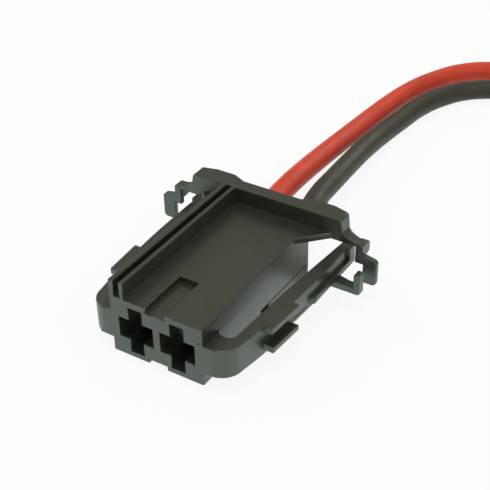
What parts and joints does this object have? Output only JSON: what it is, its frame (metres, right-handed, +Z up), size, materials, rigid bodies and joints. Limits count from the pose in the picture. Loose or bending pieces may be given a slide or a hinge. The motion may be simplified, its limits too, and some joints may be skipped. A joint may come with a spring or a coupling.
{
  "type": "wire to board connector housing",
  "caption": "Flat connector housing with cross-shaped contact mouths, sprung side bows with latch nubs, a rear flange with stepped stop hooks, and its wire leads.",
  "frame": {"origin": "centre of the housing's box in X and Y, on the table that its feet stand on", "axes": "+X across the housing towards the bow with the catch, +Y from the mating face towards the leads, +Z up, away from the feet"},
  "size_m": [0.0584, 0.0801, 0.009],
  "materials": {
    "housing_plastic": "satin, moulded black polyamide",
    "lock_plastic": "satin, moulded black polyamide",
    "contact_metal": "dull tin plating on stamped brass",
    "red_insulation": "soft PVC with a slight gloss",
    "black_insulation": "soft PVC with a slight gloss",
    "copper_strands": "bare copper strands"
  },
  "bodies": {
    "root": {"housing": "housing_plastic", "contact_lock": "lock_plastic", "terminal_left": "contact_metal", "terminal_right": "contact_metal", "wire_red": "red_insulation", "wire_black": "black_insulation", "coil_red": "red_insulation", "coil_black": "black_insulation", "strands_red": "copper_strands", "strands_black": "copper_strands"}
  },
  "joints": []
}
